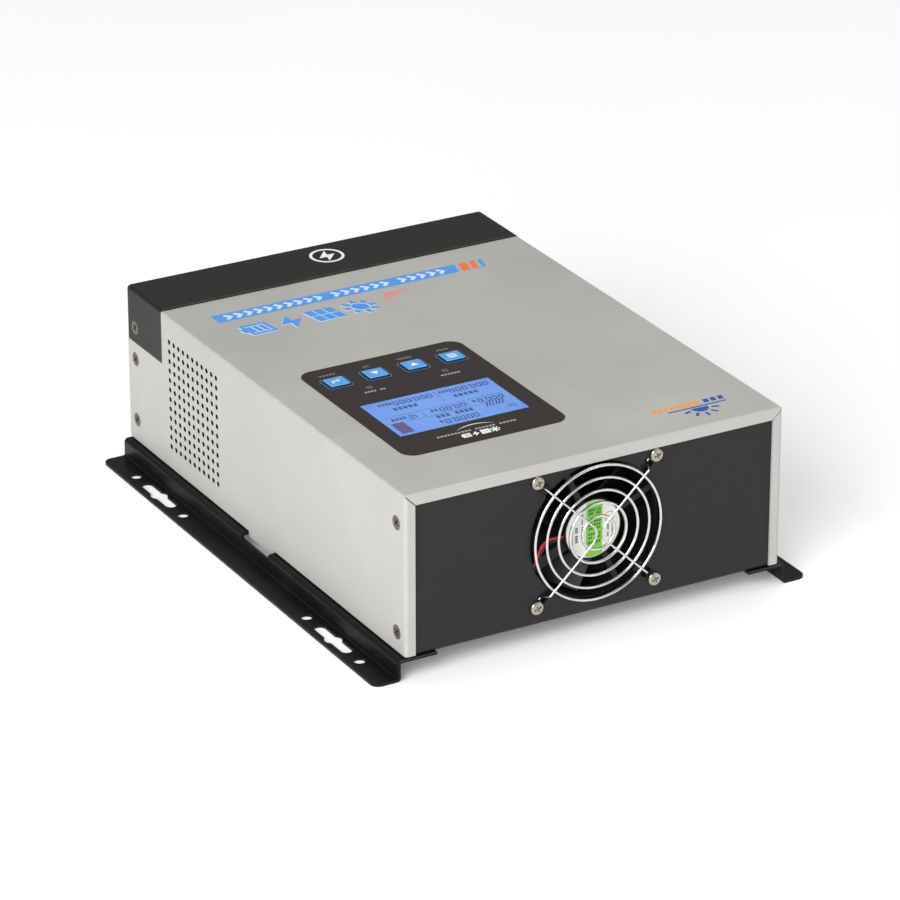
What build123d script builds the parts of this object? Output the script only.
from build123d import *
import os
from math import cos, radians, tan

# A wall-mounted solar charge controller: a folded steel box with a fan at one end, a
# display and four keys on top, and a screw terminal bay at the other end.
#
# The frame: Z is up from the wall, and z = 0 is the underside of the two mounting feet.
# Y runs along the box, from the fan (low) to the cable end (high). X is across it.
# The origin is the middle of the wall bolt pattern. Every size is in millimetres.

# --- Driving dimensions: the box ---
WIDTH = 227.5
LENGTH = 320.0
TOP = 104.0
COVER_EDGE = 13.0            # lower edge of the cover's sides
TRAY_FLOOR = 12.0            # underside of the tray
SHEET = 1.2                  # thickness of the folded steel
PLAY = 0.25                  # gap left between parts that slide together

HALF_WIDTH = WIDTH / 2
FAN_END = -LENGTH / 2
CABLE_END = LENGTH / 2
INNER_TOP = TOP - SHEET
TRAY_SIDE = HALF_WIDTH - SHEET - PLAY
TRAY_INNER = TRAY_SIDE - SHEET
FLOOR_TOP = TRAY_FLOOR + SHEET
FAN_WALL = FAN_END + SHEET   # outer face of the tray's fan wall
FAN_WALL_BACK = FAN_WALL + SHEET
CABLE_WALL = CABLE_END - SHEET

# --- Cover ---
LIP = 6.0                    # width of the turned-in rim round the fan wall
COVER_BEND = 1.2             # outer bend radius along the top edges
LIP_BEND = 2.0               # outer bend radius of the rim
MITRE = 0.5                  # width of the mitred joints in the rim's corners
MITRE_DEPTH = 2.0
SEAM = 117.4                 # middle of the seam between cover and terminal cover
SEAM_GAP = 0.3
TERMINAL_COVER_BEND = 2.4
TERMINAL_COVER_PROUD = 1.0   # how far its top and its end skirt stand out
TERMINAL_COVER_EDGE = 73.2   # lower edge of the terminal cover
KEEPER = (-14.0, 15.0)       # the tab in the middle of each side's lower edge
KEEPER_DROP = 3.3

VENT_RADIUS = 1.5
VENT_COLUMNS = 11
VENT_ROWS = 12
VENT_PITCH_Y = 5.68
VENT_PITCH_Z = 5.73
VENT_CENTRE = (79.4, 57.8)   # Y and Z of the middle of the grid

# --- Screws in the cover's sides: Y and Z of each ---
SIDE_SCREWS = [(-150.8, 86.0), (-150.8, 24.0), (151.0, 63.0), (151.0, 26.0)]
TERMINAL_COVER_SCREW = (151.0, 82.0)
ALL_SIDE_SCREWS = SIDE_SCREWS + [TERMINAL_COVER_SCREW]
EAR_DEPTH = 15.0             # how far the tray's ears run along the cover's sides
EAR_BASE = 15.0
FAN_EAR_TOP = 102.0
CABLE_EAR_TOP = 90.0
CABLE_WALL_TOP = TERMINAL_COVER_EDGE - 0.6

# --- Mounting feet ---
FOOT_SHEET = 1.5
FOOT_WALL = 118.0            # outer face of the foot's upright
FOOT_EDGE = 132.0            # outer edge of the foot's flange
LEDGE_INNER = 95.0
FOOT_CORNER = 5.0
HOLE_LINE = 125.0            # X of the holes in the flange
HOLE_RADIUS = 3.25
ROUND_HOLES = (72.6, 131.0)
KEYHOLE = 102.2
SLOT_LENGTH = 36.0
KEYHOLE_RADIUS = 5.0
FOOT_SCREWS = [(x, y) for x in (-104.0, 104.0) for y in (-125.0, 0.0, 125.0)]

# --- Fan: an 80 mm axial fan, blowing out through the end wall ---
FAN_SIZE = 80.0
FAN_DEPTH = 25.0
FAN_Z = 58.3
FAN_PITCH = 35.75            # half the distance between its screws
FAN_FACE = FAN_WALL_BACK + 1.6
FAN_BACK = FAN_FACE + FAN_DEPTH
FAN_FLANGE = 3.6
DUCT_RADIUS = 38.2
MOTOR_RADIUS = 17.0
HUB_RADIUS = 16.5
HUB_FRONT = FAN_FACE + FAN_FLANGE + 0.6
HUB_BACK = FAN_BACK - 2.0
BLADES = 7
BLADE_TIP = 37.0
SHAFT_RADIUS = 1.5
SHAFT_PLAY = 0.03
BEARING_RADIUS = 3.0
LEAD_STRUT = 205.0           # direction of the wide strut and of the leads' channel, in degrees
LEAD_RADIUS = 0.65
LEAD_ROUTE = [(-17.0, -154.5, 57.0), (-28.5, -154.5, 57.6), (-36.0, -154.5, 41.6),
              (-42.4, -154.5, 38.53), (-45.0, -141.0, 36.0), (-53.0, -127.0, 32.0),
              (-60.0, -118.5, 30.0), (-60.0, -112.0, 30.0)]
LEAD_APART = (1.0, 0.0, -1.4)    # from the red lead to the black one
FAN_CUTOUT = 39.5
NOTCH_REACH = 46.5
NOTCH_WIDTH = 6.0
GUARD_RINGS = (9.5, 17.0, 24.0, 31.0, 38.0)
GUARD_WIRE = 0.8             # radius of the rings' wire
SPOKE_WIRE = 0.6
RING_Y = FAN_END - 1.5
SPOKE_Y = RING_Y - GUARD_WIRE - SPOKE_WIRE + 0.15
SPOKE_CORNER = -1.4          # X where a spoke's two straight arms would meet
SPOKE_BEND = 7.5             # radius of the bend between them
SPOKE_END = 29.4             # X and Z distance from the fan's axis where a spoke turns in
SPOKE_FOOT = 31.8            # the same where it is through the wall
EYELET_Y = FAN_FACE - GUARD_WIRE
EYELET_RADIUS = 3.1

# --- Display on the cover ---
OVERLAY_X = (-89.8, 8.3)
OVERLAY_Y = (-118.7, 3.3)
OVERLAY_CORNER = 8.0
OVERLAY_TOP = TOP + 0.4
WINDOW_X = (-80.0, -2.4)
WINDOW_Y = (-94.6, -49.7)
LCD_BACK = 100.4
KEY_Y = -16.8
KEY_NAMES = ("menu", "down", "up", "enter")
KEY_X = [-5.5 - 23.5 * place for place in range(len(KEY_NAMES))]
KEY_SIZE = (11.5, 10.5)
KEY_TOP = 105.3
KEY_PLAY = 0.4
LED_RADIUS = 2.2
LED_SPOTS = [(-17.5, -30.4), (-63.5, -30.4)]
DISPLAY_BOARD_X = (-88.0, 6.5)
DISPLAY_BOARD_Y = (-106.0, -3.5)
DISPLAY_BOARD_TOP = 94.0
BOARD = 1.6                  # thickness of the circuit boards
DISPLAY_POSTS = [(x, y) for x in (-84.5, 3.0) for y in (-102.5, -7.0)]

# --- Main board and what stands on it ---
BOARD_BASE = 21.2
BOARD_TOP = BOARD_BASE + BOARD
BOARD_X = 100.0
BOARD_Y = (-118.0, 152.0)
BOARD_POSTS = [(x, y) for x in (-90.0, 90.0) for y in (-110.0, 60.0, 118.0)]
HEATSINK_X = (64.0, 100.0)
HEATSINK_Y = (-100.0, 45.0)
HEATSINK_TOP = 68.0
HEATSINK_BASE = 5.0
FIN = 1.6
FIN_COUNT = 8
TRANSISTOR_Y = (-85.0, -50.0, -15.0, 20.0)
INDUCTORS = [(-28.0, 20.0), (28.0, 20.0)]
CORE_RADII = (13.5, 24.0)
CORE_Z = (26.0, 46.0)
TURNS = 22
CAPACITOR_X = (-45.0, -15.0, 15.0, 45.0)
CAPACITOR_RADIUS = 9.0
CAPACITOR_TOP = 58.0
POLE_PITCH = 25.0
POLES = [POLE_PITCH * (pole - 2.5) for pole in range(6)]
WALL_THICKNESS = 10.6        # between two poles of the screw terminal
TERMINAL_Y = (122.0, 146.0)
TERMINAL_TOP = 48.0
CHANNEL_FLOOR = 30.0
CHANNEL_BACK = 128.0
CABLE_Z = 38.0
GROMMET_HOLE = 9.5
GROMMET_BORE = 6.0
GROUND_STUD = (-100.0, 45.0)     # X and Z
JACK_HOLE = (80.3, 95.7)
JACK_TOP = 36.0
SENSOR_HOLE = (-96.2, -83.8)
SENSOR_TOP = 31.0
RIBBON_X = (-28.0, -12.0)
RIBBON_Y = (-40.0, -34.0)    # Y at the main board and at the display board
SOCKET_HEIGHT = 8.0

ON_BASE = (Align.CENTER, Align.CENTER, Align.MIN)


# --- Shapes that every sub-part is made from ---
def block(x, y, z):
    """A box between the low and high value of each axis."""
    centre = [(low + high) / 2 for low, high in (x, y, z)]
    return Pos(*centre) * Box(x[1] - x[0], y[1] - y[0], z[1] - z[0])


def station(axis, a, b, start):
    """A plane across an axis at its start, through the other two coordinates."""
    if axis == "X":
        return Plane((start, a, b), x_dir=(0, 1, 0), z_dir=(1, 0, 0))
    if axis == "Y":
        return Plane((a, start, b), x_dir=(1, 0, 0), z_dir=(0, 1, 0))
    return Plane((a, b, start), x_dir=(1, 0, 0), z_dir=(0, 0, 1))


def rod(axis, radius, a, b, span):
    """A cylinder along an axis, over the span."""
    return station(axis, a, b, span[0]) * Cylinder(radius, span[1] - span[0], align=ON_BASE)


def cone(axis, radii, a, b, span):
    """A cone along an axis, with its radius at the span's two ends."""
    return station(axis, a, b, span[0]) * Cone(*radii, span[1] - span[0], align=ON_BASE)


def hexagon(axis, flats, a, b, span):
    """A hexagonal bar along an axis, by its width across the flats."""
    outline = RegularPolygon(flats / 2, 6, major_radius=False)
    return extrude(station(axis, a, b, span[0]) * outline, span[1] - span[0])


def ball(radius, x, y, z):
    return Pos(x, y, z) * Sphere(radius)


def group(shapes):
    """Separate solids that share one node."""
    return Compound([solid for shape in shapes for solid in shape.solids()])


def fused(shapes):
    first, *others = shapes
    return first + others


def mirrored(shape):
    return mirror(shape, about=Plane.YZ)


def on_both_sides(shapes):
    return shapes + [mirrored(shape) for shape in shapes]


def edges_at(shape, axis, **places):
    """The straight edges along an axis that lie at the given coordinates."""
    def matches(edge):
        centre = edge.center()
        return all(abs(getattr(centre, name) - value) < 0.01 for name, value in places.items())
    return [edge for edge in shape.edges().filter_by(axis) if matches(edge)]


# --- The folded box ---
def countersinks(places, side_face, depth):
    """Holes for countersunk screws in both sides: a 90 degree cone, then a clear hole."""
    holes = []
    for y, z in places:
        holes.append(cone("X", (2.05, 4.05), y, z, (side_face - 2.0, side_face)))
        holes.append(rod("X", 2.05, y, z, (side_face - depth, side_face - 1.9)))
    return on_both_sides(holes)


def fan_opening():
    """The round hole in the fan wall, with a notch towards each screw."""
    face = Plane((0, FAN_WALL - 1, FAN_Z), x_dir=(1, 0, 0), z_dir=(0, -1, 0))
    outline = Circle(FAN_CUTOUT)
    for turn in (45, 135):
        outline += Rot(0, 0, turn) * Rectangle(2 * NOTCH_REACH, NOTCH_WIDTH)
    return extrude(face * outline, -(SHEET + 2))


def fan_screw_places():
    return [(x, FAN_Z + z) for x in (-FAN_PITCH, FAN_PITCH) for z in (-FAN_PITCH, FAN_PITCH)]


def base_tray():
    """Floor and fan wall folded from one sheet, with ears along the cover's sides."""
    outer = block((-TRAY_SIDE, TRAY_SIDE), (FAN_WALL, CABLE_WALL), (TRAY_FLOOR, INNER_TOP - PLAY))
    outer = fillet(edges_at(outer, Axis.X, Y=FAN_WALL, Z=TRAY_FLOOR), LIP_BEND)
    inner = block((-WIDTH, WIDTH), (FAN_WALL_BACK, LENGTH), (FLOOR_TOP, TOP + 1))
    inner = fillet(edges_at(inner, Axis.X, Y=FAN_WALL_BACK, Z=FLOOR_TOP), LIP_BEND - SHEET)
    ear = block((TRAY_INNER, TRAY_SIDE), (FAN_WALL, FAN_WALL + EAR_DEPTH), (EAR_BASE, FAN_EAR_TOP))
    tray = outer - inner + on_both_sides([ear])
    tray -= fan_opening()
    tray -= [rod("Y", 2.2, x, z, (FAN_WALL - 1, FAN_WALL_BACK + 1)) for x, z in fan_screw_places()]
    tray -= [rod("Z", 2.1, x, y, (TRAY_FLOOR - 1, FLOOR_TOP + 1)) for x, y in FOOT_SCREWS]
    return tray - countersinks(SIDE_SCREWS, HALF_WIDTH, 4.0)


def cable_end_panel():
    """The wall that the cables pass, with a foot on the tray and ears along the cover's sides."""
    through = (CABLE_WALL - 1, CABLE_END + 1)
    thick = (TRAY_INNER, TRAY_SIDE)
    wall = block((-TRAY_SIDE, TRAY_SIDE), (CABLE_WALL, CABLE_END), (TRAY_FLOOR, CABLE_WALL_TOP))
    foot = block((-100.0, 100.0), (CABLE_WALL - 12.0, CABLE_WALL), (FLOOR_TOP, FLOOR_TOP + SHEET))
    ears = [
        block(thick, (CABLE_END - EAR_DEPTH, CABLE_END), (EAR_BASE, CABLE_WALL_TOP)),
        block(thick, (CABLE_END - EAR_DEPTH, CABLE_END - 4.0), (EAR_BASE, CABLE_EAR_TOP)),
    ]
    panel = wall + foot + on_both_sides(ears)
    panel -= [rod("Y", GROMMET_HOLE, x, CABLE_Z, through) for x in POLES]
    for x, top in ((JACK_HOLE, JACK_TOP), (SENSOR_HOLE, SENSOR_TOP)):
        panel -= block(x, through, (BOARD_TOP - 0.2, top + PLAY))
    panel -= rod("Y", 2.6, *GROUND_STUD, through)
    return panel - countersinks(ALL_SIDE_SCREWS, HALF_WIDTH, 4.0)


def vents():
    """The grid of round air holes, through both sides at once."""
    face = Plane((-WIDTH, *VENT_CENTRE), x_dir=(0, 1, 0), z_dir=(1, 0, 0))
    grid = GridLocations(VENT_PITCH_Y, VENT_PITCH_Z, VENT_COLUMNS, VENT_ROWS)
    return [extrude(face * place * Circle(VENT_RADIUS), 2 * WIDTH) for place in grid]


def display_holes(window_gap):
    """Holes that the overlay and the sheet under it both have."""
    depth = (INNER_TOP - 1, OVERLAY_TOP + 1)
    window = block((WINDOW_X[0] - window_gap, WINDOW_X[1] + window_gap),
                   (WINDOW_Y[0] - window_gap, WINDOW_Y[1] + window_gap), depth)
    half_x = KEY_SIZE[0] / 2 + KEY_PLAY
    half_y = KEY_SIZE[1] / 2 + KEY_PLAY
    keys = [block((x - half_x, x + half_x), (KEY_Y - half_y, KEY_Y + half_y), depth) for x in KEY_X]
    lamps = [rod("Z", LED_RADIUS + 0.1, x, y, depth) for x, y in LED_SPOTS]
    return [window, *keys, *lamps]


def top_cover():
    """Top and sides folded from one sheet, with a mitred rim round the fan wall."""
    outer = block((-HALF_WIDTH, HALF_WIDTH), (FAN_END, CABLE_END), (COVER_EDGE, TOP))
    for side in (-HALF_WIDTH, HALF_WIDTH):
        outer = fillet(edges_at(outer, Axis.Y, X=side, Z=TOP), COVER_BEND)
    rim = edges_at(outer, Axis.Z, Y=FAN_END) + edges_at(outer, Axis.X, Y=FAN_END, Z=TOP)
    outer = fillet(rim, LIP_BEND)
    inner = block((-HALF_WIDTH + SHEET, HALF_WIDTH - SHEET), (FAN_WALL, LENGTH), (-1, INNER_TOP))
    opening = block((-HALF_WIDTH + LIP, HALF_WIDTH - LIP), (-LENGTH, 0), (-1, TOP - LIP))
    cover = outer - inner - opening
    for side in (-1, 1):
        corner = Pos(side * (HALF_WIDTH - LIP / 2), FAN_WALL - MITRE_DEPTH / 2 + 0.2, TOP - LIP / 2)
        cover -= corner * Rot(0, side * 45, 0) * Box(MITRE, MITRE_DEPTH, 2 * LIP)
    cover -= block((-WIDTH, WIDTH), (SEAM - SEAM_GAP / 2, LENGTH), (TERMINAL_COVER_EDGE - 0.3, 2 * TOP))
    keepers = [block((HALF_WIDTH - SHEET, HALF_WIDTH), KEEPER, (COVER_EDGE - KEEPER_DROP, COVER_EDGE))]
    keepers = [fillet(edges_at(keeper, Axis.X, Z=COVER_EDGE - KEEPER_DROP), 1.0) for keeper in keepers]
    cover = cover + on_both_sides(keepers)
    cover -= vents()
    cover -= countersinks(SIDE_SCREWS, HALF_WIDTH, 4.0)
    cover -= display_holes(0.1)
    cover -= [rod("Z", 1.6, x, y, (INNER_TOP - 1, INNER_TOP + 0.5)) for x, y in DISPLAY_POSTS]
    return cover


def terminal_cover():
    """The lid of the terminal bay: a top, two side tabs and an end skirt."""
    front = SEAM + SEAM_GAP / 2
    end = CABLE_END + TERMINAL_COVER_PROUD
    top = TOP + TERMINAL_COVER_PROUD
    outer = block((-HALF_WIDTH, HALF_WIDTH), (front, end), (TERMINAL_COVER_EDGE, top))
    bends = edges_at(outer, Axis.Y, Z=top) + edges_at(outer, Axis.X, Y=end, Z=top)
    bends += edges_at(outer, Axis.Z, Y=end)
    outer = fillet(bends, TERMINAL_COVER_BEND)
    back = end - SHEET
    ceiling = top - SHEET
    inner = block((-HALF_WIDTH + SHEET, HALF_WIDTH - SHEET), (0, back), (0, ceiling))
    corners = edges_at(inner, Axis.Y, Z=ceiling) + edges_at(inner, Axis.X, Y=back, Z=ceiling)
    corners += edges_at(inner, Axis.Z, Y=back)
    lid = outer - fillet(corners, TERMINAL_COVER_BEND - SHEET)
    return lid - countersinks([TERMINAL_COVER_SCREW], HALF_WIDTH, 4.0)


def seam_bracket():
    """The bulkhead between electronics and terminal bay, with a flange under the seam."""
    wall_y = SEAM - 5.4
    side = TRAY_SIDE - 3.0
    wall = block((-side, side), (wall_y, wall_y + SHEET), (27.0, INNER_TOP - PLAY))
    flange = block((-side, side), (wall_y, wall_y + 15.0), (INNER_TOP - PLAY - SHEET, INNER_TOP - PLAY))
    tabs = [block((side - SHEET, side), (wall_y - 12.0, wall_y + SHEET), (30.0, 98.0))]
    slot = block((-50.0, 50.0), (wall_y - 1, wall_y + SHEET + 1), (26.0, 34.0))
    return wall + flange + on_both_sides(tabs) - slot


def mount_bracket():
    """The right-hand foot: a Z section with a ledge under the tray and a flange on the wall."""
    ledge = block((LEDGE_INNER, FOOT_WALL), (FAN_END, CABLE_END), (TRAY_FLOOR - FOOT_SHEET, TRAY_FLOOR))
    wall = block((FOOT_WALL - FOOT_SHEET, FOOT_WALL), (FAN_END, CABLE_END), (0, TRAY_FLOOR))
    flange = block((FOOT_WALL - FOOT_SHEET, FOOT_EDGE), (FAN_END, CABLE_END), (0, FOOT_SHEET))
    foot = ledge + wall + flange
    foot = fillet(edges_at(foot, Axis.Y, X=FOOT_WALL, Z=TRAY_FLOOR), 2.5)
    foot = fillet(edges_at(foot, Axis.Y, X=FOOT_WALL - FOOT_SHEET, Z=0), 2.5)
    foot = fillet(edges_at(foot, Axis.Y, X=FOOT_WALL - FOOT_SHEET, Z=TRAY_FLOOR - FOOT_SHEET), 1.0)
    foot = fillet(edges_at(foot, Axis.Y, X=FOOT_WALL, Z=FOOT_SHEET), 1.0)
    foot = fillet(edges_at(foot, Axis.Z, X=FOOT_EDGE), FOOT_CORNER)
    keeper_room = (KEEPER[0] - 0.6, KEEPER[1] + 0.6)
    foot -= block((HALF_WIDTH - SHEET - 1.5, FOOT_WALL + 1), keeper_room, (9.2, 20.0))
    through = (-1, FOOT_SHEET + 1)
    for y in ROUND_HOLES:
        foot -= [rod("Z", HOLE_RADIUS, HOLE_LINE, side * y, through) for side in (-1, 1)]
    slot = SlotOverall(SLOT_LENGTH, 2 * HOLE_RADIUS, rotation=90) + Circle(KEYHOLE_RADIUS)
    for side in (-1, 1):
        foot -= Pos(HOLE_LINE, side * KEYHOLE, -1) * extrude(slot, FOOT_SHEET + 2)
    foot -= [rod("Z", 2.1, x, y, (5, 15)) for x, y in FOOT_SCREWS if x > 0]
    return foot


# --- Fasteners ---
def countersunk_screw(y, z):
    """An M4 countersunk screw in the right side, with a cross recess."""
    head = cone("X", (2.0, 4.0), y, z, (HALF_WIDTH - 2.0, HALF_WIDTH))
    shank = rod("X", 2.0, y, z, (HALF_WIDTH - 10.0, HALF_WIDTH - 2.0))
    recess = [Pos(HALF_WIDTH, y, z) * Rot(turn, 0, 0) * Box(2.4, 4.4, 0.9) for turn in (45, 135)]
    return head + shank - recess


def cover_nut(y, z):
    """A clinch nut on the inner face of a tray ear."""
    nut = hexagon("X", 7.0, y, z, (TRAY_INNER - 3.0, TRAY_INNER))
    return nut - rod("X", 2.05, y, z, (TRAY_INNER - 4.0, TRAY_INNER + 1.0))


def pan_screw(axis, radius, a, b, face, length, sign):
    """A pan-head screw: the head stands off the face against sign, the shank runs with it."""
    head_radius = 1.9 * radius
    head_height = 1.2 * radius
    shank = rod(axis, radius, a, b, sorted((face, face + sign * length)))
    head = rod(axis, head_radius, a, b, sorted((face - sign * head_height, face)))
    crown = face - sign * head_height
    head = fillet([e for e in head.edges().filter_by(GeomType.CIRCLE)
                   if abs(getattr(e.center(), axis) - crown) < 0.01], 0.45 * head_height)
    middle = {"X": (crown, a, b), "Y": (a, crown, b), "Z": (a, b, crown)}[axis]
    recess = Box(1.1 * head_radius, 0.24 * head_radius, head_height)
    recess += Box(0.24 * head_radius, 1.1 * head_radius, head_height)
    turn = {"X": Rot(0, 90, 0), "Y": Rot(90, 0, 0), "Z": Rot(0, 0, 0)}[axis]
    return head + shank - Pos(*middle) * turn * Rot(0, 0, 20) * recess


def hex_nut(axis, radius, a, b, span):
    bore = rod(axis, radius + 0.05, a, b, (span[0] - 1, span[1] + 1))
    return hexagon(axis, 3.5 * radius, a, b, span) - bore


def bracket_screws():
    return group([pan_screw("Z", 2.0, x, y, TRAY_FLOOR - FOOT_SHEET, 8.0, 1) for x, y in FOOT_SCREWS])


def bracket_nuts():
    span = (FLOOR_TOP, FLOOR_TOP + 3.2)
    return group([hex_nut("Z", 2.0, x, y, span) for x, y in FOOT_SCREWS])


# --- Fan ---
def fan_axis_rod(radius, span):
    return rod("Y", radius, 0, FAN_Z, span)


def fan_ring(outer, inner, span):
    return fan_axis_rod(outer, span) - fan_axis_rod(inner, (span[0] - 1, span[1] + 1))


def fan_frame():
    """The square fan body: two flanges joined by the duct, and a motor base on four struts."""
    half = FAN_SIZE / 2
    body = block((-half, half), (FAN_FACE, FAN_BACK), (FAN_Z - half, FAN_Z + half))
    body = fillet(edges_at(body, Axis.Y), 4.0)
    waist = (FAN_FACE + FAN_FLANGE, FAN_BACK - FAN_FLANGE)
    hollow = block((-half - 1, half + 1), waist, (FAN_Z - half - 1, FAN_Z + half + 1))
    body -= hollow - fan_axis_rod(half, waist)
    body -= fan_axis_rod(DUCT_RADIUS, (FAN_FACE - 1, FAN_BACK + 1))
    base_y = (FAN_FACE, FAN_FACE + FAN_FLANGE)
    base = fan_axis_rod(MOTOR_RADIUS, base_y)
    for turn in range(4):
        lead = turn == 0
        width = 6.0 if lead else 3.2
        depth = (base_y[0] + (2.4 if lead else 0.4), base_y[1])
        strut = block((MOTOR_RADIUS - 2, DUCT_RADIUS + 1), depth, (-width / 2, width / 2))
        base += Pos(0, 0, FAN_Z) * Rot(0, -LEAD_STRUT - 90 * turn, 0) * strut
    tube = fan_axis_rod(4.6, (base_y[0] + 1, FAN_FACE + 16.0))
    body = body + base + tube
    body -= fan_axis_rod(BEARING_RADIUS, (base_y[1] - 1.5, FAN_BACK))
    channel = block((DUCT_RADIUS - 1.5, 1.3 * half), (FAN_FACE - 1, FAN_FACE + 5.6), (-2.8, 3.4))
    body -= Pos(0, 0, FAN_Z) * Rot(0, -LEAD_STRUT, 0) * channel
    body -= [rod("Y", 2.2, x, z, (FAN_FACE - 1, FAN_BACK + 1)) for x, z in fan_screw_places()]
    return body


def fan_bearing():
    """The bronze sleeve that the shaft turns in."""
    sleeve = (FAN_FACE + FAN_FLANGE - 1.5, FAN_FACE + 15.5)
    return fan_ring(BEARING_RADIUS, SHAFT_RADIUS + SHAFT_PLAY, sleeve)


def fan_stator():
    """The laminated core round the bearing tube, with its four wound poles."""
    core = fan_ring(6.6, 4.7, (HUB_FRONT + 1.0, HUB_FRONT + 11.0))
    poles = []
    for turn in range(4):
        neck = block((6.0, 11.0), (HUB_FRONT + 3.0, HUB_FRONT + 9.0), (-2.6, 2.6))
        shoe = fan_ring(12.6, 10.8, (HUB_FRONT + 2.0, HUB_FRONT + 10.0))
        wedge = block((8.0, 14.0), (HUB_FRONT, HUB_FRONT + 12.0), (-6.0, 6.0))
        place = Pos(0, 0, FAN_Z) * Rot(0, -90 * turn, 0)
        poles += [place * neck, shoe & (place * wedge)]
    return core + poles


def blade():
    """One cambered blade: an arc across the chord, carried out along the radius."""
    leading = HUB_FRONT + 2.0
    trailing = HUB_BACK - 0.5
    start, middle, end = (-11.0, leading), (-1.0, (leading + trailing) / 2 + 2.2), (11.5, trailing)
    camber = ThreePointArc(start, middle, end)
    section = make_face([camber, Line(end, (end[0] - 0.5, end[1] - 1.3)),
                         ThreePointArc((end[0] - 0.5, end[1] - 1.3), (middle[0] + 0.6, middle[1] - 1.5),
                                       (start[0] + 0.4, start[1] - 1.2)),
                         Line((start[0] + 0.4, start[1] - 1.2), start)])
    slab = extrude(Pos(0, 0, FAN_Z) * section, BLADE_TIP + 1)
    return slab & fan_ring(BLADE_TIP, HUB_RADIUS - 0.5, (FAN_FACE, FAN_BACK))


def fan_rotor():
    """Hub cup, seven blades and the steel shaft, which turn together."""
    hub = fan_axis_rod(HUB_RADIUS, (HUB_FRONT, HUB_BACK))
    hub -= fan_axis_rod(HUB_RADIUS - 2.2, (HUB_FRONT - 1, HUB_BACK - 2.0))
    shaft = fan_axis_rod(SHAFT_RADIUS, (FAN_FACE + FAN_FLANGE - 1.0, HUB_BACK - 1.0))
    one = blade()
    blades = [Pos(0, 0, FAN_Z) * Rot(0, 360 / BLADES * number, 0) * Pos(0, 0, -FAN_Z) * one
              for number in range(BLADES)]
    return hub + shaft + blades


def fan_label():
    return fan_axis_rod(MOTOR_RADIUS - 0.8, (FAN_FACE - 0.15, FAN_FACE))


def wire_ring(radius, wire, y, x, z):
    return Plane((x, y, z), x_dir=(1, 0, 0), z_dir=(0, 1, 0)) * Torus(radius, wire)


def wire_between(start, end, wire):
    """A straight piece of wire with round ends, so that it blends into what it meets."""
    run = Vector(*end) - Vector(*start)
    stick = Plane(Vector(*start), z_dir=run) * Cylinder(wire, run.length, align=ON_BASE)
    return stick + ball(wire, *start) + ball(wire, *end)


def fan_guard():
    """Five rings, and two bent spokes over them that end in an eyelet at each screw."""
    guard = [wire_ring(radius, GUARD_WIRE, RING_Y, 0, FAN_Z) for radius in GUARD_RINGS]
    for side in (-1, 1):
        ends = [(side * SPOKE_END, SPOKE_Y, FAN_Z + up * SPOKE_END) for up in (-1, 1)]
        corner = (side * SPOKE_CORNER, SPOKE_Y, FAN_Z)
        spoke = FilletPolyline(ends[0], corner, ends[1], radius=SPOKE_BEND)
        guard.append(sweep((spoke ^ 0) * Circle(SPOKE_WIRE), path=spoke))
        for up, end in zip((-1, 1), ends):
            inner = (side * SPOKE_FOOT, EYELET_Y, FAN_Z + up * SPOKE_FOOT)
            reach = FAN_PITCH - EYELET_RADIUS * cos(radians(45))
            rim = (side * reach, EYELET_Y, FAN_Z + up * reach)
            guard += [wire_between(end, inner, SPOKE_WIRE), wire_between(inner, rim, SPOKE_WIRE)]
            screw_x, screw_z = side * FAN_PITCH, FAN_Z + up * FAN_PITCH
            guard.append(wire_ring(EYELET_RADIUS, GUARD_WIRE, EYELET_Y, screw_x, screw_z))
    return fused(guard)


def corner_radii(points):
    """As large an arc at each corner as its two runs allow."""
    radii = []
    for before, corner, after in zip(points, points[1:], points[2:]):
        run_in = Vector(*corner) - Vector(*before)
        run_out = Vector(*after) - Vector(*corner)
        half_turn = radians(run_in.get_angle(run_out) / 2)
        radii.append(0.45 * min(run_in.length, run_out.length) / tan(half_turn))
    return radii


def fan_lead(shift):
    """One insulated lead, from the rim of the motor base through the frame's channel and down
    to the board."""
    points = [tuple(a + b for a, b in zip(point, shift)) for point in LEAD_ROUTE]
    height = points[0][2] - FAN_Z
    points[0] = (-(MOTOR_RADIUS ** 2 - height ** 2) ** 0.5 - PLAY / 2, points[0][1], points[0][2])
    path = FilletPolyline(*points, radius=corner_radii(points))
    return sweep((path ^ 0) * Circle(LEAD_RADIUS), path=path)


def fan_connector():
    """The two-pole plug and header that both leads end in."""
    return block((-65.0, -55.0), (-112.0, -105.0), (BOARD_TOP, 33.0))


# --- Display ---
def display_overlay():
    """The printed film over the display, keys and lamps."""
    centre = (sum(OVERLAY_X) / 2, sum(OVERLAY_Y) / 2, TOP)
    film = RectangleRounded(OVERLAY_X[1] - OVERLAY_X[0], OVERLAY_Y[1] - OVERLAY_Y[0], OVERLAY_CORNER)
    return Pos(*centre) * extrude(film, OVERLAY_TOP - TOP) - display_holes(0.0)


def lcd_window():
    """The clear film that fills the window in the overlay."""
    return block(WINDOW_X, WINDOW_Y, (TOP, OVERLAY_TOP))


def lcd_span(margin):
    return ((WINDOW_X[0] - margin, WINDOW_X[1] + margin), (WINDOW_Y[0] - margin, WINDOW_Y[1] + margin))


def lcd_glass():
    """The liquid-crystal cell: its face stands in the sheet's window, its rim under the sheet."""
    face = block(*lcd_span(0.0), (LCD_BACK, TOP - 0.1))
    return face + block(*lcd_span(1.5), (LCD_BACK, INNER_TOP - 0.1))


def lcd_backlight():
    return block(*lcd_span(1.0), (DISPLAY_BOARD_TOP, LCD_BACK))


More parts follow.
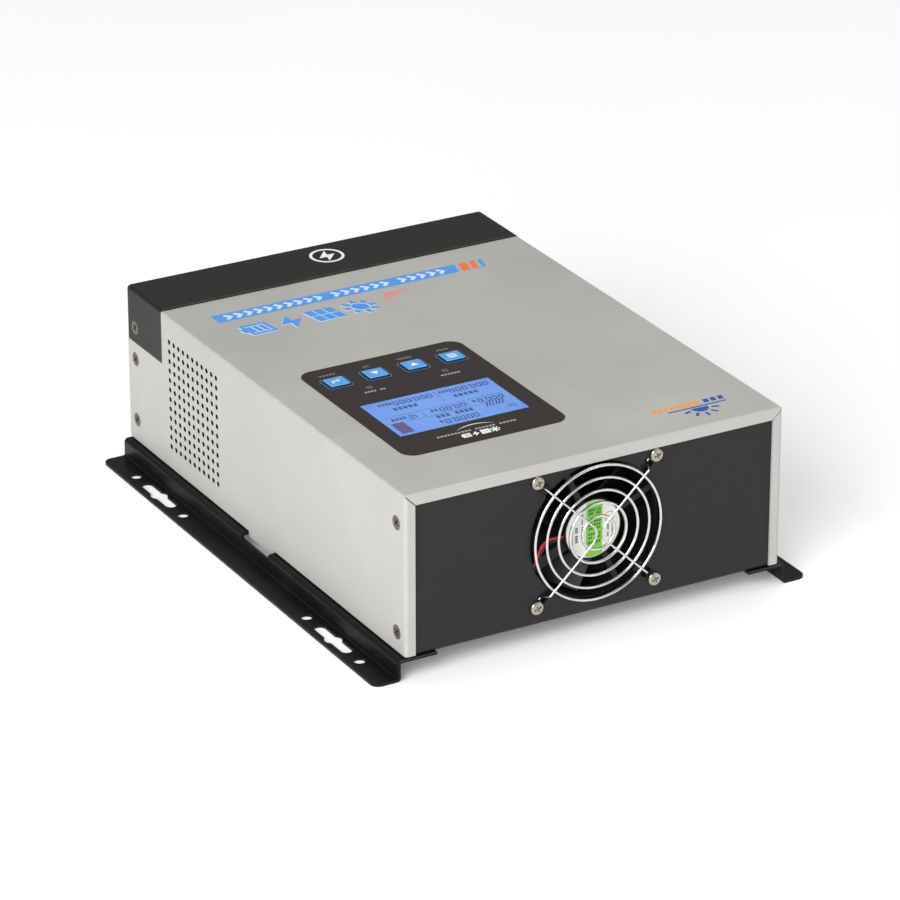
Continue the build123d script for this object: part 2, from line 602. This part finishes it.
def lcd_bezel():
    """The metal frame that clamps the glass and its backlight to the display board."""
    outer = block(*lcd_span(4.0), (DISPLAY_BOARD_TOP, INNER_TOP - 0.1))
    return outer - block(*lcd_span(1.6), (0, TOP))


def display_board():
    board = block(DISPLAY_BOARD_X, DISPLAY_BOARD_Y, (DISPLAY_BOARD_TOP - BOARD, DISPLAY_BOARD_TOP))
    return board - [rod("Z", 1.6, x, y, (0, TOP)) for x, y in DISPLAY_POSTS]


def display_posts():
    """Threaded posts pressed into the sheet, which the display board hangs from."""
    posts = [hexagon("Z", 5.0, x, y, (DISPLAY_BOARD_TOP, INNER_TOP)) for x, y in DISPLAY_POSTS]
    bores = [rod("Z", 1.5, x, y, (0, INNER_TOP - 2)) for x, y in DISPLAY_POSTS]
    return group([post - bore for post, bore in zip(posts, bores)])


def display_screws():
    under = DISPLAY_BOARD_TOP - BOARD
    return group([pan_screw("Z", 1.45, x, y, under, 6.0, 1) for x, y in DISPLAY_POSTS])


def keycap(x):
    """A key: the cap, a collar that keeps it under the sheet, and the stem that it pushes with."""
    half_x, half_y = KEY_SIZE[0] / 2, KEY_SIZE[1] / 2
    cap = block((x - half_x, x + half_x), (KEY_Y - half_y, KEY_Y + half_y), (INNER_TOP - 1.5, KEY_TOP))
    cap = fillet(edges_at(cap, Axis.Z), 0.8)
    cap = fillet(cap.faces().sort_by(Axis.Z)[-1].edges(), 0.3)
    collar = block((x - half_x - 1.3, x + half_x + 1.3), (KEY_Y - half_y - 1.2, KEY_Y + half_y + 1.2),
                   (INNER_TOP - 1.8, INNER_TOP - 0.5))
    return cap + collar + rod("Z", 1.9, x, KEY_Y, (96.2, INNER_TOP - 1.0))


def key_switches():
    """The four push switches under the keys, each with a well for the key's stem."""
    def switch(x):
        case = block((x - 6, x + 6), (KEY_Y - 6, KEY_Y + 6), (DISPLAY_BOARD_TOP, 98.8))
        return case - rod("Z", 2.3, x, KEY_Y, (94.8, 100.0))
    return group([switch(x) for x in KEY_X])


def status_leds():
    """Two lamps with clear bodies that reach up through the overlay."""
    height = (DISPLAY_BOARD_TOP, OVERLAY_TOP - 0.15)
    return group([rod("Z", LED_RADIUS, x, y, height) for x, y in LED_SPOTS])


def ribbon_sockets():
    """The header on the main board and its mate under the display board."""
    def socket(y, base, end):
        return block((RIBBON_X[0] - 2, RIBBON_X[1] + 2), (y - 3, y + 3), (base, end))
    under = DISPLAY_BOARD_TOP - BOARD
    return group([socket(RIBBON_Y[0], BOARD_TOP, BOARD_TOP + SOCKET_HEIGHT),
                  socket(RIBBON_Y[1], under - SOCKET_HEIGHT, under)])


def ribbon_cable():
    """A flat cable that rises from one socket to the other in a gentle S."""
    low = BOARD_TOP + SOCKET_HEIGHT
    high = DISPLAY_BOARD_TOP - BOARD - SOCKET_HEIGHT
    middle = sum(RIBBON_X) / 2
    points = [(middle, RIBBON_Y[0], low), (middle, RIBBON_Y[0], low + 14),
              (middle, RIBBON_Y[1], high - 14), (middle, RIBBON_Y[1], high)]
    path = FilletPolyline(*points, radius=corner_radii(points))
    strip = (path ^ 0) * Rectangle(RIBBON_X[1] - RIBBON_X[0], 0.9)
    flat = strip.bounding_box().size
    if flat.Y > flat.X:
        strip = (path ^ 0) * Rectangle(0.9, RIBBON_X[1] - RIBBON_X[0])
    return sweep(strip, path=path)


# --- Main board ---
def main_board():
    board = block((-BOARD_X, BOARD_X), BOARD_Y, (BOARD_BASE, BOARD_TOP))
    return board - [rod("Z", 1.7, x, y, (0, TOP)) for x, y in BOARD_POSTS]


def board_posts():
    posts = [hexagon("Z", 5.5, x, y, (FLOOR_TOP, BOARD_BASE)) for x, y in BOARD_POSTS]
    bores = [rod("Z", 1.5, x, y, (FLOOR_TOP + 1, TOP)) for x, y in BOARD_POSTS]
    return group([post - bore for post, bore in zip(posts, bores)])


def board_screws():
    return group([pan_screw("Z", 1.45, x, y, BOARD_TOP, 6.0, -1) for x, y in BOARD_POSTS])


def insulation_sheet():
    """The insulating film between the tray and the underside of the board."""
    film = block((-98.0, 98.0), (-116.0, 150.0), (FLOOR_TOP + 3.4, FLOOR_TOP + 3.8))
    holes = [rod("Z", 3.6, x, y, (0, TOP)) for x, y in BOARD_POSTS]
    return film - holes


def heatsink():
    """The right-hand heatsink: an upright base with level fins that lie along the airflow."""
    low, high = HEATSINK_X
    base = block((low, low + HEATSINK_BASE), HEATSINK_Y, (BOARD_TOP, HEATSINK_TOP))
    pitch = (HEATSINK_TOP - BOARD_TOP - FIN) / (FIN_COUNT - 1)
    fins = [block((low + HEATSINK_BASE, high), HEATSINK_Y,
                  (BOARD_TOP + pitch * row, BOARD_TOP + pitch * row + FIN)) for row in range(FIN_COUNT)]
    holes = [rod("X", 1.55, y, 45.0, (low - 1, low + HEATSINK_BASE)) for y in TRANSISTOR_Y]
    return base + fins - holes


def transistor(y):
    """A power transistor on the right-hand heatsink: its body and three legs into the board."""
    face = HEATSINK_X[0]
    body = block((face - 5.0, face), (y - 8.0, y + 8.0), (30.0, 51.0))
    body -= rod("X", 1.8, y, 45.0, (face - 6, face + 1))
    legs = [block((face - 3.2, face - 2.6), (y + at - 0.6, y + at + 0.6), (BOARD_TOP, 30.5))
            for at in (-5.45, 0.0, 5.45)]
    return body + legs


def transistor_screw(y):
    return pan_screw("X", 1.5, y, 45.0, HEATSINK_X[0] - 5.0, 9.0, 1)


def inductor_cores():
    """Two powder cores, each a plain ring lying above the board."""
    inner, outer = CORE_RADII
    return group([fillet((rod("Z", outer, x, y, CORE_Z) - rod("Z", inner, x, y, (0, TOP))).edges()
                         .filter_by(GeomType.CIRCLE), 1.5) for x, y in INDUCTORS])


def winding_turn():
    """One turn of thick wire round the ring's section, as a square loop with round corners."""
    inner, outer = CORE_RADII
    wire = 1.1
    gap = 0.15
    loop = Plane.XZ * RectangleRounded(outer - inner + 2 * (gap + 2 * wire),
                                       CORE_Z[1] - CORE_Z[0] + 2 * (gap + 2 * wire), 2.6)
    hole = Plane.XZ * RectangleRounded(outer - inner + 2 * gap, CORE_Z[1] - CORE_Z[0] + 2 * gap, 0.6)
    return extrude(loop - hole, wire, both=True)


def inductor_windings():
    turn = Pos((CORE_RADII[0] + CORE_RADII[1]) / 2, 0, sum(CORE_Z) / 2) * winding_turn()
    turns = [Pos(x, y, 0) * Rot(0, 0, 300 / (TURNS - 1) * number + 30) * turn
             for x, y in INDUCTORS for number in range(TURNS)]
    return group(turns)


def capacitors(y):
    """A row of four upright electrolytic cans, each with a scored, rounded end."""
    def can(x):
        body = rod("Z", CAPACITOR_RADIUS, x, y, (BOARD_TOP, CAPACITOR_TOP))
        body = fillet(body.edges().filter_by(GeomType.CIRCLE).sort_by(Axis.Z)[-1], 1.2)
        scores = [Pos(x, y, CAPACITOR_TOP) * Rot(0, 0, turn) * Box(13, 0.8, 0.8) for turn in (0, 90)]
        return body - scores
    return group([can(x) for x in CAPACITOR_X])


def control_chips():
    """The controller chip and the two gate drivers."""
    def chip(x, y, side):
        return Pos(x, y, BOARD_TOP + 0.9) * Box(side, side, 1.8)
    return group([chip(26.0, -38.0, 14.0), chip(44.0, -34.0, 8.0), chip(-44.0, -34.0, 8.0)])


def current_shunt():
    """A bridge of resistance strip between two feet on the board."""
    span = (-45.0, -13.0)
    feet = [block((x, x + 4), (95.0, 103.0), (BOARD_TOP, BOARD_TOP + 9.0)) for x in (span[0], span[1] - 4)]
    return block(span, (95.0, 103.0), (BOARD_TOP + 9.0, BOARD_TOP + 11.0)) + feet


def battery_fuse():
    """A strip fuse: a moulded body with a bolted blade at each end."""
    body = block((20.0, 48.0), (92.0, 106.0), (BOARD_TOP, BOARD_TOP + 12.0))
    blades = [block((x, x + 9.0), (95.0, 103.0), (BOARD_TOP, BOARD_TOP + 2.5)) for x in (11.0, 48.0)]
    return body + blades


# --- Terminal bay ---
def terminal_block():
    """The six-pole barrier strip on the board's end: an open channel for each pole's cage, with
    a wall between neighbours and one along the back."""
    half = POLES[-1] + POLE_PITCH / 2
    walls = [x + POLE_PITCH / 2 for x in POLES[:-1]]
    sides = (half - WALL_THICKNESS / 2, half)
    strip = block((-half, half), TERMINAL_Y, (BOARD_TOP, CHANNEL_FLOOR))
    strip += block((-half, half), (TERMINAL_Y[0], CHANNEL_BACK), (BOARD_TOP, TERMINAL_TOP))
    spans = [(x - WALL_THICKNESS / 2, x + WALL_THICKNESS / 2) for x in walls]
    spans += [sides, (-sides[1], -sides[0])]
    return strip + [block(span, TERMINAL_Y, (BOARD_TOP, TERMINAL_TOP)) for span in spans]


def terminal_clamps():
    """The plated cage of each pole."""
    def clamp(x):
        cage = block((x - 6.8, x + 6.8), (130.0, 144.0), (30.3, 43.6))
        cage -= block((x - 4.8, x + 4.8), (129.0, 145.0), (33.0, 39.6))
        return cage - rod("Z", 3.05, x, 137.0, (38.0, 45.0))
    return group([clamp(x) for x in POLES])


def terminal_screws():
    """The slotted screw of each pole."""
    def screw(x):
        body = rod("Z", 3.0, x, 137.0, (39.6, 44.0)) + rod("Z", 3.9, x, 137.0, (43.7, 46.8))
        return body - block((x - 5.0, x + 5.0), (136.4, 137.6), (45.4, 50.0))
    return group([screw(x) for x in POLES])


def cable_grommets():
    """A rubber ring in each cable hole, grooved for the sheet."""
    def grommet(x):
        inner = rod("Y", GROMMET_HOLE + 2.0, x, CABLE_Z, (CABLE_WALL - 2.0, CABLE_WALL))
        neck = rod("Y", GROMMET_HOLE, x, CABLE_Z, (CABLE_WALL, CABLE_END))
        lip = rod("Y", GROMMET_HOLE + 2.0, x, CABLE_Z, (CABLE_END, CABLE_END + 2.0))
        lip = fillet(lip.edges().filter_by(GeomType.CIRCLE).sort_by(Axis.Y)[-1], 1.2)
        return inner + neck + lip - rod("Y", GROMMET_BORE, x, CABLE_Z, (CABLE_WALL - 3, CABLE_END + 3))
    return group([grommet(x) for x in POLES])


def comm_port():
    """The data jack that faces out through the cable wall."""
    jack = block((80.5, 95.5), (138.0, CABLE_END - 0.2), (BOARD_TOP, JACK_TOP))
    return jack - block((82.2, 93.8), (146.0, CABLE_END + 1), (25.2, 33.6))


def temp_sensor_socket():
    """The two-pin socket for a battery temperature sensor."""
    socket = block((-96.0, -84.0), (140.0, CABLE_END - 0.2), (BOARD_TOP, SENSOR_TOP))
    return socket - [rod("Y", 1.6, x, 27.0, (150.0, CABLE_END + 1)) for x in (-92.5, -87.5)]


def ground_stud():
    """An earth stud through the cable wall, with a nut on each face."""
    x, z = GROUND_STUD
    stud = rod("Y", 2.5, x, z, (CABLE_WALL - 6.0, CABLE_END + 6.0))
    inner_nut = hexagon("Y", 8.0, x, z, (CABLE_WALL - 4.0, CABLE_WALL))
    return stud + inner_nut + hexagon("Y", 8.0, x, z, (CABLE_END, CABLE_END + 4.0))


# --- All the nodes ---
right_foot = mount_bracket()
right_heatsink = heatsink()
NODES = {
    "base_tray": base_tray(),
    "cable_end_panel": cable_end_panel(),
    "top_cover": top_cover(),
    "terminal_cover": terminal_cover(),
    "seam_bracket": seam_bracket(),
    "right_mount_bracket": right_foot,
    "left_mount_bracket": mirrored(right_foot),
    "bracket_screws": bracket_screws(),
    "bracket_nuts": bracket_nuts(),
    "cover_screws": group(on_both_sides([countersunk_screw(y, z) for y, z in ALL_SIDE_SCREWS])),
    "cover_nuts": group(on_both_sides([cover_nut(y, z) for y, z in ALL_SIDE_SCREWS])),
    "fan_frame": fan_frame(),
    "fan_rotor": fan_rotor(),
    "fan_bearing": fan_bearing(),
    "fan_stator": fan_stator(),
    "fan_label": fan_label(),
    "fan_guard": fan_guard(),
    "fan_screws": group([pan_screw("Y", 2.0, x, z, FAN_WALL, 32.0, 1) for x, z in fan_screw_places()]),
    "fan_nuts": group([hex_nut("Y", 2.0, x, z, (FAN_BACK, FAN_BACK + 3.2)) for x, z in fan_screw_places()]),
    "fan_lead_red": fan_lead((0, 0, 0)),
    "fan_lead_black": fan_lead(LEAD_APART),
    "fan_connector": fan_connector(),
    "display_overlay": display_overlay(),
    "lcd_window": lcd_window(),
    "lcd_glass": lcd_glass(),
    "lcd_backlight": lcd_backlight(),
    "lcd_bezel": lcd_bezel(),
    "display_board": display_board(),
    "display_posts": display_posts(),
    "display_screws": display_screws(),
    "key_switches": key_switches(),
    "status_leds": status_leds(),
    "ribbon_sockets": ribbon_sockets(),
    "ribbon_cable": ribbon_cable(),
    "main_board": main_board(),
    "board_posts": board_posts(),
    "board_screws": board_screws(),
    "insulation_sheet": insulation_sheet(),
    "right_heatsink": right_heatsink,
    "left_heatsink": mirrored(right_heatsink),
    "power_transistors": group(on_both_sides([transistor(y) for y in TRANSISTOR_Y])),
    "transistor_screws": group(on_both_sides([transistor_screw(y) for y in TRANSISTOR_Y])),
    "inductor_cores": inductor_cores(),
    "inductor_windings": inductor_windings(),
    "input_capacitors": capacitors(74.0),
    "output_capacitors": capacitors(-70.0),
    "control_chips": control_chips(),
    "current_shunt": current_shunt(),
    "battery_fuse": battery_fuse(),
    "terminal_block": terminal_block(),
    "terminal_clamps": terminal_clamps(),
    "terminal_screws": terminal_screws(),
    "cable_grommets": cable_grommets(),
    "comm_port": comm_port(),
    "temp_sensor_socket": temp_sensor_socket(),
    "ground_stud": ground_stud(),
}
for name, x in zip(KEY_NAMES, KEY_X):
    NODES[f"key_{name}"] = keycap(x)

os.makedirs("parts", exist_ok=True)
for name, shape in NODES.items():
    export_step(shape, f"parts/{name}.step")
print(len(NODES), "nodes written")
print("lead arcs, mm:", [round(radius, 1) for radius in corner_radii(LEAD_ROUTE)])
